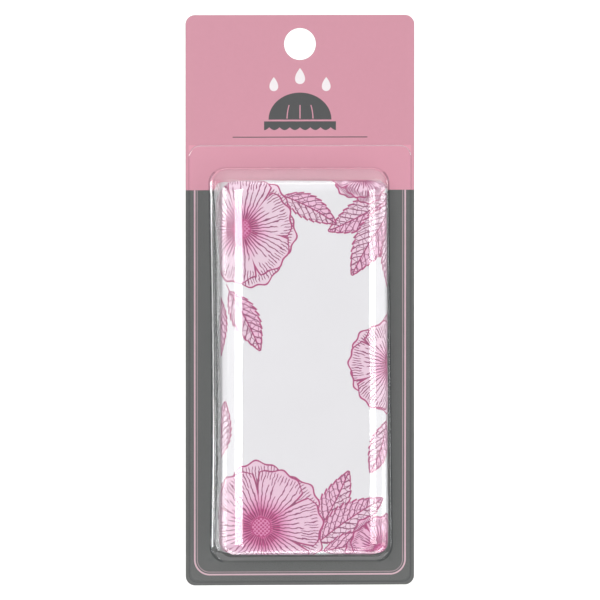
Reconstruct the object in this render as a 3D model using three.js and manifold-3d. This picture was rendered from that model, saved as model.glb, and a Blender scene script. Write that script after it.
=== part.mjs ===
// Shower cap on a hang card: a printed board, a clear formed blister sealed to it by its flange, and inside it a
// folded elasticated cap of two plies with a hem, a casing, an elastic and a stitch line.
// Millimetres, +Z up. The origin is the centre of the card's hang hole, on the card's back face. The pack faces -Y.
import * as THREE from "three";
import { mergeVertices } from "three/addons/utils/BufferGeometryUtils.js";
import Module from "manifold-3d";

const wasm = await Module();
wasm.setup();

// ---- driving dimensions ----
const CARD_WIDTH = 91.7;
const CARD_TOP = 11.64; // top edge above the hang hole's centre
const CARD_BOTTOM = -216.64;
const CARD_THICKNESS = 0.6;
const CARD_CORNER = 3.8;
const HANG_HOLE_D = 12.7;

const SEAL_GAP = 0.1; // between the card's face and the flange
const FILM = 0.4; // blister wall
const FLANGE_HALF_WIDTH = 44.6;
const FLANGE_TOP = -40.4;
const FLANGE_BOTTOM = -215.4;
const FLANGE_CORNER = 3.4;
const DOME_HALF_WIDTH = 36.0; // outside, at the flange
const DOME_TOP = -50.0;
const DOME_BOTTOM = -206.6;
const DOME_CORNER = 7.5;
const DOME_DEPTH = 22.4; // from the flange's back to the dome's front
const DOME_EDGE = 5.5; // rounding between the walls and the front
const DOME_DRAFT = 2.7; // how far each wall leans in over the depth

const CAP_TOP = -54.2;
const CAP_BOTTOM = -203.4;
const PLY = 0.5; // printed outer ply
const PLY_EDGE_X = 27.2; // where the front panel starts to turn round the side
const PLY_FRONT = 21.0; // mid-line of the front panel, out from the card's face
const PLY_BIG_FOLD = 5.3;
const PLY_SETBACK = 2.8; // the side folds end this far inside the front panel's end turns
const FLAP = 0.44; // the ply where it is drawn tight over the ends
const FLAP_HALF_WIDTH = 25.5;
const FLAP_REACH = 9.5; // how near the card the end flaps come
const LINING = 0.4;
const LINING_SETBACK = 4.3;

const HEM_TOP = -66.0; // straight runs of the hem loop
const HEM_BOTTOM = -188.0;
const HEM_PITCH = 3.2; // half the distance between neighbouring runs
const CASING_HALF_WIDTH = 2.2;
const CASING_BACK = 0.9; // out from the card's face
const CASING_DEPTH = 2.2;
const CASING_WALL = 0.45;
const CASING_SLIT = 0.3; // half-width of the open seam
const ELASTIC_HALF_WIDTH = 1.35;
const ELASTIC_DEPTH = 0.8;
const STITCH_OFFSET = 1.75;
const STITCH_HALF_WIDTH = 0.2;
const STITCH_DEPTH = 0.3;
const STITCH_BACK = 0.45;

// ---- helpers ----
const V2 = (x, y) => new THREE.Vector2(x, y);

// A rounded rectangle in X and Z.
function roundedRect(x0, x1, z0, z1, r) {
  const s = new THREE.Shape();
  s.moveTo(x0 + r, z0);
  s.lineTo(x1 - r, z0);
  s.absarc(x1 - r, z0 + r, r, -Math.PI / 2, 0, false);
  s.lineTo(x1, z1 - r);
  s.absarc(x1 - r, z1 - r, r, 0, Math.PI / 2, false);
  s.lineTo(x0 + r, z1);
  s.absarc(x0 + r, z1 - r, r, Math.PI / 2, Math.PI, false);
  s.lineTo(x0, z0 + r);
  s.absarc(x0 + r, z0 + r, r, Math.PI, 1.5 * Math.PI, false);
  return s;
}

// Turns a shape drawn in X and Z into a plate: its back lies at -from in Y and its front at -(from + depth).
function plate(shape, from, depth, curveSegments = 8) {
  const g = new THREE.ExtrudeGeometry(shape, { depth, bevelEnabled: false, curveSegments });
  g.rotateX(Math.PI / 2);
  g.translate(0, -from, 0);
  return g;
}

function solid(geometry) {
  const bare = new THREE.BufferGeometry();
  const g = geometry.index ? geometry.toNonIndexed() : geometry;
  bare.setAttribute("position", g.getAttribute("position").clone());
  const m = mergeVertices(bare, 1e-4);
  return new wasm.Manifold(
    new wasm.Mesh({
      numProp: 3,
      vertProperties: new Float32Array(m.attributes.position.array),
      triVerts: new Uint32Array(m.index.array),
    }),
  );
}

function geometryOf(manifold) {
  const m = manifold.getMesh();
  const v = new Float32Array(m.numVert * 3);
  for (let i = 0; i < m.numVert; i++)
    v.set(m.vertProperties.subarray(i * m.numProp, i * m.numProp + 3), i * 3);
  const g = new THREE.BufferGeometry();
  g.setAttribute("position", new THREE.BufferAttribute(v, 3));
  g.setIndex(new THREE.BufferAttribute(new Uint32Array(m.triVerts), 1));
  g.computeVertexNormals();
  return g;
}

function boxBetween(x0, x1, y0, y1, z0, z1) {
  const g = new THREE.BoxGeometry(x1 - x0, y1 - y0, z1 - z0);
  g.translate((x0 + x1) / 2, (y0 + y1) / 2, (z0 + z1) / 2);
  return solid(g);
}

// Points along an arc, in degrees, without its first point.
function arc(cx, cy, r, from, to, steps) {
  const out = [];
  for (let i = 1; i <= steps; i++) {
    const a = ((from + ((to - from) * i) / steps) * Math.PI) / 180;
    out.push(V2(cx + r * Math.cos(a), cy + r * Math.sin(a)));
  }
  return out;
}

// A line moved sideways by `off`; on a closed line the ends meet.
function offsetLine(pts, off, closed = false) {
  const n = pts.length;
  return pts.map((p, i) => {
    const a = pts[closed ? (i - 1 + n) % n : Math.max(i - 1, 0)];
    const b = pts[closed ? (i + 1) % n : Math.min(i + 1, n - 1)];
    const t0 = p.clone().sub(a).normalize();
    const t1 = b.clone().sub(p).normalize();
    if (!closed && i === 0) t0.copy(t1);
    if (!closed && i === n - 1) t1.copy(t0);
    const n0 = V2(-t0.y, t0.x);
    const n1 = V2(-t1.y, t1.x);
    const mid = n0.clone().add(n1).normalize();
    return p.clone().addScaledVector(mid, off / Math.max(mid.dot(n0), 0.5));
  });
}

// A folded sheet: a line in X and depth given a thickness, and run along Z.
function foldedSheet(line, thickness, z0, z1) {
  const left = offsetLine(line, thickness / 2);
  const right = offsetLine(line, -thickness / 2);
  const outline = left.concat(right.reverse()).map((p) => V2(p.x, -(CARD_THICKNESS + p.y)));
  const g = new THREE.ExtrudeGeometry(new THREE.Shape(outline), { depth: z1 - z0, bevelEnabled: false });
  g.translate(0, 0, z0);
  return g;
}

// The right half of a sheet's line, from the middle of its front, and its mirror image make the whole line.
function bothSides(half) {
  const left = half
    .slice(1)
    .reverse()
    .map((p) => V2(-p.x, p.y));
  return left.concat(half);
}

// A flat band that follows a closed line in X and Z.
function bandRing(line, inner, outer, back, depth) {
  const s = new THREE.Shape(offsetLine(line, -outer, true));
  s.holes.push(new THREE.Path(offsetLine(line, -inner, true)));
  return plate(s, CARD_THICKNESS + back, depth);
}

const group = new THREE.Group();
function add(name, geometry, color, roughness, opacity = 1) {
  const material = new THREE.MeshStandardMaterial({ color, roughness, metalness: 0 });
  if (opacity < 1) {
    material.transparent = true;
    material.opacity = opacity;
  }
  const mesh = new THREE.Mesh(geometry, material);
  mesh.name = name;
  group.add(mesh);
  return mesh;
}

// ---- hang card ----
const cardShape = roundedRect(-CARD_WIDTH / 2, CARD_WIDTH / 2, CARD_BOTTOM, CARD_TOP, CARD_CORNER);
const hole = new THREE.Path();
hole.absarc(0, 0, HANG_HOLE_D / 2, 0, 2 * Math.PI, true);
cardShape.holes.push(hole);
add("hang_card", plate(cardShape, 0, CARD_THICKNESS, 10), 0xd99dae, 0.45);

// ---- blister: a flange and a drafted dome, open towards the card ----
const flangeBack = CARD_THICKNESS + SEAL_GAP;
function dome(inset) {
  const r = DOME_EDGE - inset;
  const shape = roundedRect(
    -DOME_HALF_WIDTH + inset,
    DOME_HALF_WIDTH - inset,
    DOME_BOTTOM + inset,
    DOME_TOP - inset,
    DOME_CORNER - inset,
  );
  // runs from well behind the flange to the dome's front
  const reach = 12;
  const depth = DOME_DEPTH - inset + reach - 2 * r;
  const g = new THREE.ExtrudeGeometry(shape, {
    depth,
    bevelEnabled: true,
    bevelSize: r,
    bevelThickness: r,
    bevelOffset: -r,
    bevelSegments: 5,
    curveSegments: 5,
  });
  g.translate(0, 0, r - reach);
  const p = g.getAttribute("position");
  const midZ = (DOME_TOP + DOME_BOTTOM) / 2;
  const halfZ = (DOME_TOP - DOME_BOTTOM) / 2;
  for (let i = 0; i < p.count; i++) {
    const lean = (DOME_DRAFT * Math.max(p.getZ(i), 0)) / DOME_DEPTH;
    p.setX(i, p.getX(i) * (1 - lean / DOME_HALF_WIDTH));
    p.setY(i, midZ + (p.getY(i) - midZ) * (1 - lean / halfZ));
  }
  g.rotateX(Math.PI / 2);
  g.translate(0, -flangeBack, 0);
  return solid(g);
}
const flange = solid(
  plate(roundedRect(-FLANGE_HALF_WIDTH, FLANGE_HALF_WIDTH, FLANGE_BOTTOM, FLANGE_TOP, FLANGE_CORNER), flangeBack, FILM, 5),
);
const front = boxBetween(-60, 60, -flangeBack - 40, -flangeBack, -260, 40);
const shell = dome(0).intersect(front).add(flange).subtract(dome(FILM));
add("blister_shell", geometryOf(shell), 0xf2f4f6, 0.08, 0.25);

// ---- folded cap, printed outer ply: front panel, one wide turn and two narrow folds at each side, back panel ----
const plyHalf = [
  V2(0, PLY_FRONT),
  V2(PLY_EDGE_X, PLY_FRONT),
  ...arc(PLY_EDGE_X, PLY_FRONT - PLY_BIG_FOLD, PLY_BIG_FOLD, 90, -90, 12),
  V2(13.0, 10.4),
  ...arc(13.0, 9.3, 1.1, 90, 270, 6),
  V2(29.6, 8.2),
  ...arc(29.6, 6.9, 1.3, 90, -90, 6),
  V2(14.0, 5.6),
  ...arc(14.0, 4.7, 0.9, 90, 270, 6),
  V2(30.2, 3.8),
  ...arc(30.2, 2.7, 1.1, 90, -90, 6),
  V2(12.8, 1.6),
];
let ply = solid(foldedSheet(bothSides(plyHalf), PLY, CAP_BOTTOM + PLY_SETBACK, CAP_TOP - PLY_SETBACK));
// the front panel turns back over both ends
for (const [end, sign] of [
  [CAP_TOP, 1],
  [CAP_BOTTOM, -1],
]) {
  const turn = end - sign * (PLY / 2 + PLY_BIG_FOLD);
  const past = end + sign * 4;
  ply = ply.subtract(
    boxBetween(
      -FLAP_HALF_WIDTH,
      FLAP_HALF_WIDTH,
      -(CARD_THICKNESS + PLY_FRONT + 1),
      -(CARD_THICKNESS + PLY_FRONT - 1),
      Math.min(turn, past),
      Math.max(turn, past),
    ),
  );
  const line = [
    V2(PLY_FRONT, turn - sign * 1.5),
    V2(PLY_FRONT, turn),
    ...arc(PLY_FRONT - PLY_BIG_FOLD, 0, PLY_BIG_FOLD, 0, 90, 8).map((p) => V2(p.x, turn + sign * p.y)),
    V2(FLAP_REACH, end - sign * (PLY / 2)),
  ];
  const a = offsetLine(line, FLAP / 2);
  const b = offsetLine(line, -FLAP / 2).reverse();
  // drawn in depth and Z, then run along X
  const shape = new THREE.Shape(a.concat(b).map((p) => V2(CARD_THICKNESS + p.x, p.y)));
  const g = new THREE.ExtrudeGeometry(shape, { depth: 2 * FLAP_HALF_WIDTH, bevelEnabled: false });
  const p = g.getAttribute("position");
  for (let i = 0; i < p.count; i++) {
    const [d, z, x] = [p.getX(i), p.getY(i), p.getZ(i)];
    p.setXYZ(i, FLAP_HALF_WIDTH - x, -d, z);
  }
  ply = ply.add(solid(g));
}
add("cap_outer_ply", geometryOf(ply), 0xe9e8eb, 0.5);

// ---- waterproof lining, pleated behind the front panel, with its edges brought down to the hem ----
const liningHalf = [
  V2(0, 19.2),
  V2(25.0, 19.2),
  ...arc(25.0, 18.2, 1.0, 90, -90, 6),
  V2(5.0, 17.2),
  ...arc(5.0, 16.2, 1.0, 90, 270, 6),
  V2(26.0, 15.2),
  ...arc(26.0, 14.2, 1.0, 90, -90, 6),
  V2(9.4, 13.2),
  ...arc(9.4, 10.2, 3.0, 90, 180, 4),
  V2(6.4, 3.7),
];
add(
  "cap_lining",
  foldedSheet(bothSides(liningHalf), LINING, CAP_BOTTOM + LINING_SETBACK, CAP_TOP - LINING_SETBACK),
  0xf4f4f2,
  0.35,
);

// ---- hem loop: one closed band laid in four runs along the back ----
const h = HEM_PITCH;
const hemLine = [
  V2(3 * h, HEM_BOTTOM),
  V2(3 * h, HEM_TOP),
  ...arc(2 * h, HEM_TOP, h, 0, 180, 12),
  V2(h, HEM_BOTTOM),
  ...arc(0, HEM_BOTTOM, h, 0, -180, 12),
  V2(-h, HEM_TOP),
  ...arc(-2 * h, HEM_TOP, h, 0, 180, 12),
  V2(-3 * h, HEM_BOTTOM),
  ...arc(0, HEM_BOTTOM, 3 * h, 180, 360, 20).slice(0, -1),
];
const channel = solid(bandRing(hemLine, -CASING_HALF_WIDTH, CASING_HALF_WIDTH, CASING_BACK, CASING_DEPTH));
const hollow = solid(
  bandRing(
    hemLine,
    -CASING_HALF_WIDTH + CASING_WALL,
    CASING_HALF_WIDTH - CASING_WALL,
    CASING_BACK + CASING_WALL,
    CASING_DEPTH - 2 * CASING_WALL,
  ),
);
const slit = solid(bandRing(hemLine, -CASING_SLIT, CASING_SLIT, CASING_BACK - 1, CASING_WALL + 1.2));
add("hem_casing", geometryOf(channel.subtract(hollow).subtract(slit)), 0xe7e3e8, 0.55);
add(
  "hem_elastic",
  bandRing(
    hemLine,
    -ELASTIC_HALF_WIDTH,
    ELASTIC_HALF_WIDTH,
    CASING_BACK + (CASING_DEPTH - ELASTIC_DEPTH) / 2,
    ELASTIC_DEPTH,
  ),
  0xf0efe9,
  0.7,
);
add(
  "hem_stitching",
  bandRing(hemLine, STITCH_OFFSET - STITCH_HALF_WIDTH, STITCH_OFFSET + STITCH_HALF_WIDTH, STITCH_BACK, STITCH_DEPTH),
  0xd58aa8,
  0.6,
);

export default group;
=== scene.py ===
import math

import bpy
import numpy as np
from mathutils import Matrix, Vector
from mathutils.bvhtree import BVHTree
from mathutils.geometry import tessellate_polygon


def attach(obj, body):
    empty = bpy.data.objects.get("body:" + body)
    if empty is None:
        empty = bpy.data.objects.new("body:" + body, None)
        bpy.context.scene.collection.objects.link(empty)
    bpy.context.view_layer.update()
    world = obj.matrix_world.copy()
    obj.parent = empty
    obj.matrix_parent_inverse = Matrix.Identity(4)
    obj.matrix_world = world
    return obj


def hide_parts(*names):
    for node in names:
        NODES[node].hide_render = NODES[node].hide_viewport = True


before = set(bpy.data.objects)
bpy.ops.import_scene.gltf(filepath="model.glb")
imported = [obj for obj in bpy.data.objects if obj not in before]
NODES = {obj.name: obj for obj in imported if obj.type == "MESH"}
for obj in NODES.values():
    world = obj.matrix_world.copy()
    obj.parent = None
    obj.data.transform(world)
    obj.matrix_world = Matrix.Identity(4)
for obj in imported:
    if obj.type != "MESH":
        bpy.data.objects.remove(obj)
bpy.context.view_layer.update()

MM = 0.001
SCENE = bpy.context.scene

# ---------------------------------------------------------------- sizes, in millimetres, as in the CAD model
CARD_W, CARD_TOP, CARD_BOTTOM, CARD_T = 91.7, 11.64, -216.64, 0.6
CARD_CORNER, HOLE_R = 3.8, 6.35
TONE_LINE = -58.35  # where the pink header meets the grey panel
RULE_X, RULE_BOTTOM, RULE_R = 42.2, -212.3, 6.0  # the pale line round the panel
FLANGE_X, FLANGE_TOP, FLANGE_BOTTOM, FLANGE_R = 44.6, -40.4, -215.4, 3.4
DOME_X, DOME_TOP, DOME_BOTTOM = 36.0, -50.0, -206.6
DOME_FRONT = 22.5  # from the card's face
CAP_X, CAP_TOP, CAP_BOTTOM, CAP_FRONT, CAP_TURN = 32.75, -54.0, -203.4, 21.2, 5.4


def waves(seed, count, short, long):
    """A smooth field of two coordinates in mm, about 1 at its strongest, with wavelengths from short to long."""
    rng = np.random.default_rng(seed)
    wl = np.exp(rng.uniform(math.log(short), math.log(long), count))
    an = rng.uniform(0, 2 * math.pi, count)
    ph = rng.uniform(0, 2 * math.pi, count)
    kx, ky = 2 * math.pi / wl * np.cos(an), 2 * math.pi / wl * np.sin(an)
    amp = np.sqrt(wl / long)
    amp = amp / np.sqrt((amp**2).sum()) * 0.8

    def field(a, b):
        a, b = np.asarray(a, float), np.asarray(b, float)
        out = 0.0
        for i in range(count):
            out = out + amp[i] * np.sin(kx[i] * a + ky[i] * b + ph[i])
        return out

    return field


def smooth(lo, hi, x):
    t = np.clip((np.asarray(x, float) - lo) / (hi - lo), 0, 1)
    return t * t * (3 - 2 * t)


# ---------------------------------------------------------------- meshes
def make(name, verts, faces, materials, index=None, uv=None, flat=False):
    """A mesh from points in mm. index is a material for each face, uv a dict of map name to one pair for each point."""
    me = bpy.data.meshes.new(name)
    me.from_pydata((np.asarray(verts, float) * MM).tolist(), [], [tuple(int(i) for i in f) for f in faces])
    for m in materials:
        me.materials.append(m)
    if index is not None:
        me.polygons.foreach_set("material_index", np.asarray(index, np.int32))
    for map_name, pairs in (uv or {}).items():
        layer = me.uv_layers.new(name=map_name)
        loops = np.zeros(len(me.loops), np.int32)
        me.loops.foreach_get("vertex_index", loops)
        layer.data.foreach_set("uv", np.asarray(pairs, np.float32)[loops].ravel())
    me.polygons.foreach_set("use_smooth", np.full(len(me.polygons), not flat))
    me.update()
    me.validate()
    ob = bpy.data.objects.new(name, me)
    SCENE.collection.objects.link(ob)
    return ob


def normals_of(verts, faces):
    n = np.zeros_like(verts)
    for f in faces:
        p = verts[list(f)]
        if len(f) == 4:
            c = np.cross(p[2] - p[0], p[3] - p[1])
        else:
            c = np.cross(p[1] - p[0], p[2] - p[0])
        for i in f:
            n[i] += c
    return n / np.maximum(np.linalg.norm(n, axis=1), 1e-12)[:, None]


def thicken(verts, faces, out, back):
    """A closed sheet: the given surface moved out along its normals, a second one moved back, and a rim between their edges.
    Returns points, faces, and for each face 0 for the outer side, 1 for the inner side and 2 for the rim."""
    verts = np.asarray(verts, float)
    n = normals_of(verts, faces)
    k = len(verts)
    both = np.vstack([verts + n * out, verts - n * back])
    uses = {}
    for f in faces:
        for a, b in zip(f, list(f[1:]) + [f[0]]):
            uses[(a, b)] = uses.get((a, b), 0) + 1
    rim = [(b, a, a + k, b + k) for (a, b) in uses if (b, a) not in uses]
    all_faces = [tuple(f) for f in faces] + [tuple(i + k for i in reversed(f)) for f in faces] + rim
    side = [0] * len(faces) + [1] * len(faces) + [2] * len(rim)
    return both, all_faces, side


def ring_points(x0, x1, z0, z1, rx, rz, nx, nz, nc):
    """A rounded rectangle in X and Z, anticlockwise from its lower left, with nx and nz steps on its sides and nc in each corner.
    Returns the points and, for each, the direction out of the corner or side."""
    pts, way = [], []

    def side(a, b, n, d):
        for i in range(n + 1):
            t = i / n
            pts.append((a[0] + (b[0] - a[0]) * t, a[1] + (b[1] - a[1]) * t))
            way.append(d)

    def corner(cx, cz, start):
        for i in range(1, nc):
            a = start + math.pi / 2 * i / nc
            pts.append((cx + rx * math.cos(a), cz + rz * math.sin(a)))
            way.append((math.cos(a), math.sin(a)))

    side((x0 + rx, z0), (x1 - rx, z0), nx, (0, -1))
    corner(x1 - rx, z0 + rz, -math.pi / 2)
    side((x1, z0 + rz), (x1, z1 - rz), nz, (1, 0))
    corner(x1 - rx, z1 - rz, 0)
    side((x1 - rx, z1), (x0 + rx, z1), nx, (0, 1))
    corner(x0 + rx, z1 - rz, math.pi / 2)
    side((x0, z1 - rz), (x0, z0 + rz), nz, (-1, 0))
    corner(x0 + rx, z0 + rz, math.pi)
    return np.array(pts), np.array(way, float)


def grid_edge(nx, nz, nc):
    """The border of a grid of (nx + 1) by (nz + 1) points, walked as ring_points walks."""
    g = lambda i, k: k * (nx + 1) + i
    out = [g(i, 0) for i in range(nx + 1)] + [g(nx, 0)] * (nc - 1)
    out += [g(nx, k) for k in range(nz + 1)] + [g(nx, nz)] * (nc - 1)
    out += [g(i, nz) for i in range(nx, -1, -1)] + [g(0, nz)] * (nc - 1)
    out += [g(0, k) for k in range(nz, -1, -1)] + [g(0, 0)] * (nc - 1)
    return out


def grid_faces(nx, nz):
    g = lambda i, k: k * (nx + 1) + i
    return [(g(i, k), g(i + 1, k), g(i + 1, k + 1), g(i, k + 1)) for k in range(nz) for i in range(nx)]


def join_rings(a, b):
    """Faces between two closed rings of equal length; equal neighbours in either make a triangle."""
    out = []
    n = len(a)
    for i in range(n):
        j = (i + 1) % n
        f = [a[i], b[i], b[j], a[j]]
        f = [v for k, v in enumerate(f) if v != f[k - 1]]
        if len(f) >= 3:
            out.append(tuple(f))
    return out


# ---------------------------------------------------------------- node trees
class Num:
    """One number inside a node tree, with the usual arithmetic."""

    def __init__(self, tree, socket):
        self.tree, self.socket = tree, socket

    def _op(self, op, *others, clamp=False):
        return math_node(self.tree, op, self, *others, clamp=clamp)

    def __add__(self, o):
        return self._op("ADD", o)

    __radd__ = __add__

    def __sub__(self, o):
        return self._op("SUBTRACT", o)

    def __rsub__(self, o):
        return math_node(self.tree, "SUBTRACT", o, self)

    def __mul__(self, o):
        return self._op("MULTIPLY", o)

    __rmul__ = __mul__

    def __truediv__(self, o):
        return self._op("DIVIDE", o)

    def __rtruediv__(self, o):
        return math_node(self.tree, "DIVIDE", o, self)

    def __neg__(self):
        return self._op("MULTIPLY", -1.0)

    def __abs__(self):
        return self._op("ABSOLUTE")

    def __pow__(self, o):
        return self._op("POWER", o)

    def __lt__(self, o):
        return self._op("LESS_THAN", o)

    def __gt__(self, o):
        return self._op("GREATER_THAN", o)

    def min(self, o):
        return self._op("MINIMUM", o)

    def max(self, o):
        return self._op("MAXIMUM", o)

    def sin(self):
        return self._op("SINE")

    def cos(self):
        return self._op("COSINE")

    def sqrt(self):
        return self._op("SQRT")

    def round(self):
        return self._op("ROUND")

    def clip(self):
        return self._op("ADD", 0.0, clamp=True)

    def step(self, lo, hi):
        """0 below lo, 1 above hi, smooth between; with lo above hi it falls."""
        n = self.tree.nodes.new("ShaderNodeMapRange")
        n.interpolation_type = "SMOOTHSTEP"
        flip = lo > hi
        if flip:
            lo, hi = hi, lo
        n.inputs["From Min"].default_value, n.inputs["From Max"].default_value = lo, hi
        n.inputs["To Min"].default_value, n.inputs["To Max"].default_value = (1.0, 0.0) if flip else (0.0, 1.0)
        self.tree.links.new(self.socket, n.inputs["Value"])
        return Num(self.tree, n.outputs["Result"])


def math_node(tree, op, *args, clamp=False):
    n = tree.nodes.new("ShaderNodeMath")
    n.operation, n.use_clamp = op, clamp
    for i, a in enumerate(args):
        if isinstance(a, Num):
            tree.links.new(a.socket, n.inputs[i])
        else:
            n.inputs[i].default_value = float(a)
    return Num(tree, n.outputs[0])


def stroke(dist, width, soft=0.05):
    """1 within width / 2 of where dist is 0."""
    return dist.step(width / 2 + soft, width / 2 - soft)


def white(tree, x):
    n = tree.nodes.new("ShaderNodeTexWhiteNoise")
    n.noise_dimensions = "1D"
    tree.links.new(x.socket, n.inputs["W"])
    return Num(tree, n.outputs["Value"])


def noise(tree, vector, scale, detail=2.0, rough=0.5, distort=0.0):
    n = tree.nodes.new("ShaderNodeTexNoise")
    n.inputs["Scale"].default_value = scale
    n.inputs["Detail"].default_value = detail
    n.inputs["Roughness"].default_value = rough
    n.inputs["Distortion"].default_value = distort
    tree.links.new(vector, n.inputs["Vector"])
    return Num(tree, n.outputs["Fac"])


def mix_colour(tree, fac, a, b):
    n = tree.nodes.new("ShaderNodeMix")
    n.data_type = "RGBA"
    for key, v in ((0, fac), (6, a), (7, b)):
        if isinstance(v, Num):
            tree.links.new(v.socket, n.inputs[key])
        elif isinstance(v, bpy.types.NodeSocket):
            tree.links.new(v, n.inputs[key])
        elif key == 0:
            n.inputs[key].default_value = v
        else:
            n.inputs[key].default_value = (*v, 1.0)
    return n.outputs[2]


def srgb(r, g, b):
    f = lambda c: (c / 255 / 12.92) if c <= 10.3 else ((c / 255 + 0.055) / 1.055) ** 2.4
    return (f(r), f(g), f(b))


def dim(c, k):
    return tuple(x * k for x in c)


def material(name, **values):
    """A Principled material; returns it, its tree and its shader node."""
    m = bpy.data.materials.new(name)
    m.use_nodes = True
    t = m.node_tree
    b = next(n for n in t.nodes if n.type == "BSDF_PRINCIPLED")
    for k, v in values.items():
        b.inputs[k.replace("_", " ")].default_value = v
    return m, t, b


def bump(t, b, height, strength, distance):
    n = t.nodes.new("ShaderNodeBump")
    n.inputs["Strength"].default_value = strength
    n.inputs["Distance"].default_value = distance
    t.links.new(height.socket, n.inputs["Height"])
    t.links.new(n.outputs["Normal"], b.inputs["Normal"])
    return n


def object_mm(t):
    """Object coordinates in mm as a vector socket and three numbers."""
    tc = t.nodes.new("ShaderNodeTexCoord")
    s = t.nodes.new("ShaderNodeVectorMath")
    s.operation = "SCALE"
    s.inputs["Scale"].default_value = 1000.0
    t.links.new(tc.outputs["Object"], s.inputs[0])
    x = t.nodes.new("ShaderNodeSeparateXYZ")
    t.links.new(s.outputs[0], x.inputs[0])
    return s.outputs[0], Num(t, x.outputs[0]), Num(t, x.outputs[1]), Num(t, x.outputs[2])


EXPOSE = 0.80  # surfaces' own colours against the photographed ones, for this light

PINK = dim(srgb(214, 150, 167), EXPOSE)
GREY = dim(srgb(97, 98, 97), EXPOSE)
DARK = dim(srgb(78, 79, 80), EXPOSE)
# painted reflection: the header's pink made lighter where the film's flange lies over it
FLANGE_SHEEN_PINK = dim(srgb(229, 158, 177), EXPOSE)
PALE = dim(srgb(226, 190, 200), EXPOSE)
WHITE_INK = dim(srgb(246, 240, 242), EXPOSE)


# ---------------------------------------------------------------- card
def card_front():
    m, t, b = material("card_front", Roughness=0.42, IOR=1.48, Specular_IOR_Level=0.25)
    vec, x, y, z = object_mm(t)
    grain = noise(t, vec, 0.55, 4.0, 0.6)
    fine = noise(t, vec, 3.2, 3.0, 0.6)
    # panel tones
    tone = (z - TONE_LINE).step(-0.06, 0.06)
    # the header, painted a little lighter where the film's flange lies over it: a painted reflection of the film's
    # sheen
    fx, fz = abs(x) - FLANGE_X, z - FLANGE_TOP
    c = mix_colour(t, fx.max(fz).step(0.05, -0.05), PINK, FLANGE_SHEEN_PINK)
    c = mix_colour(t, tone, GREY, c)
    # pale line: a rounded U that starts at the header, and a finer one inside it
    qx = abs(x) - (RULE_X - RULE_R)
    qz = (RULE_BOTTOM + RULE_R) - z
    out = (qx.max(0.0) * qx.max(0.0) + qz.max(0.0) * qz.max(0.0)).sqrt()
    edge = out + qx.max(qz).min(0.0) - RULE_R
    rule = stroke(abs(edge), 0.62, 0.08).max(stroke(abs(edge + 1.0), 0.26, 0.08) * 0.6)
    c = mix_colour(t, rule * (1.0 - tone), c, PALE)
    # plain pictogram: drops over a domed cap, with a thin rule under it
    ex, ez = x / 12.6, (z + 30.2) / 10.8
    domed = ((ex * ex + ez * ez).sqrt() - 1.0).step(0.008, -0.008) * (z + 30.2).step(-0.05, 0.05)
    wave = abs((x * (math.pi / 4.1)).sin())
    hem_low = (z + 33.3 + wave * 1.1).step(-0.06, 0.06)
    hem = hem_low * (z + 30.9).step(0.06, -0.06) * (abs(x) - 14.4).step(0.06, -0.06)
    dark = domed.max(hem)
    for bar in (-5.2, 0.0, 5.2):  # gathers drawn as light lines on the dome
        run = (30.2 + z) / 10.8
        gather = stroke(abs(x - bar * (1.0 - run * run * 0.55)), 0.45, 0.06) * (z + 30.2).step(0.3, 0.5) * (z + 24.6).step(0.4, 0.0)
        dark = dark * (1.0 - gather)
    line = stroke(abs(z + 37.2), 0.36, 0.06) * (abs(x) - 27.0).step(0.06, -0.06)
    dark = dark.max(line)
    c = mix_colour(t, dark, c, DARK)
    drops = None
    for dx, top, h, w in ((-10.5, -13.2, 5.6, 1.75), (0.0, -9.6, 6.4, 2.0), (10.5, -13.2, 5.6, 1.75)):
        run = ((top - z) / h).max(0.0).min(1.0)
        half = run * (1.0 - run).sqrt() * (w / 0.385)
        d = (abs(x - dx) - half).step(0.06, -0.06) * (run > 0.001) * (run < 0.999)
        drops = d if drops is None else drops.max(d)
    c = mix_colour(t, drops, c, WHITE_INK)
    # a touch of unevenness in the ink
    ink = (grain - 0.5) * 0.05 + (fine - 0.5) * 0.03 + 1.0
    v = t.nodes.new("ShaderNodeVectorMath")
    v.operation = "SCALE"
    t.links.new(c, v.inputs[0])
    t.links.new(ink.socket, v.inputs["Scale"])
    t.links.new(v.outputs[0], b.inputs["Base Color"])
    rough = 0.40 + (grain - 0.5) * 0.16
    t.links.new(rough.socket, b.inputs["Roughness"])
    bump(t, b, grain * 0.6 + fine * 0.4, 0.25, 0.00006)
    return m


def card_board(name, tone, flecks=True):
    m, t, b = material(name, Roughness=0.85)
    vec, x, y, z = object_mm(t)
    blotch = noise(t, vec, 0.12, 3.0, 0.55)
    fibre = noise(t, vec, 2.2, 4.0, 0.7, 1.2)
    k = (blotch - 0.5) * 0.5 + (fibre - 0.5) * 0.5 + 0.5
    c = mix_colour(t, k.clip(), dim(tone, 0.86), dim(tone, 1.1))
    # short dark and light fibres, lying mostly along the board
    kinds = ((0.3, 5.0, 0.5, 0.2), (-0.5, 4.0, 0.6, 0.16), (1.2, 6.0, 1.25, 0.18))
    for turn, squash, shade, share in kinds if flecks else ():
        ca, sa = math.cos(turn), math.sin(turn)
        along, across = x * sa + z * ca, x * ca - z * sa
        wob = (noise(t, vec, 0.5, 2.0, 0.5) - 0.5) * 1.6
        both = t.nodes.new("ShaderNodeCombineXYZ")
        for i, num in enumerate((along / squash, across + wob)):
            t.links.new(num.socket, both.inputs[i])
        cells = t.nodes.new("ShaderNodeTexVoronoi")
        cells.voronoi_dimensions = "2D"
        cells.inputs["Scale"].default_value = 0.9
        t.links.new(both.outputs[0], cells.inputs["Vector"])
        one = t.nodes.new("ShaderNodeSeparateXYZ")
        t.links.new(cells.outputs["Color"], one.inputs[0])
        fleck = Num(t, cells.outputs["Distance"]).step(0.2, 0.1) * (Num(t, one.outputs[0]) < share)
        c = mix_colour(t, fleck * 0.7, c, dim(tone, shade))
    t.links.new(c, b.inputs["Base Color"])
    bump(t, b, fibre, 0.35, 0.0001)
    return m


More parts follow.
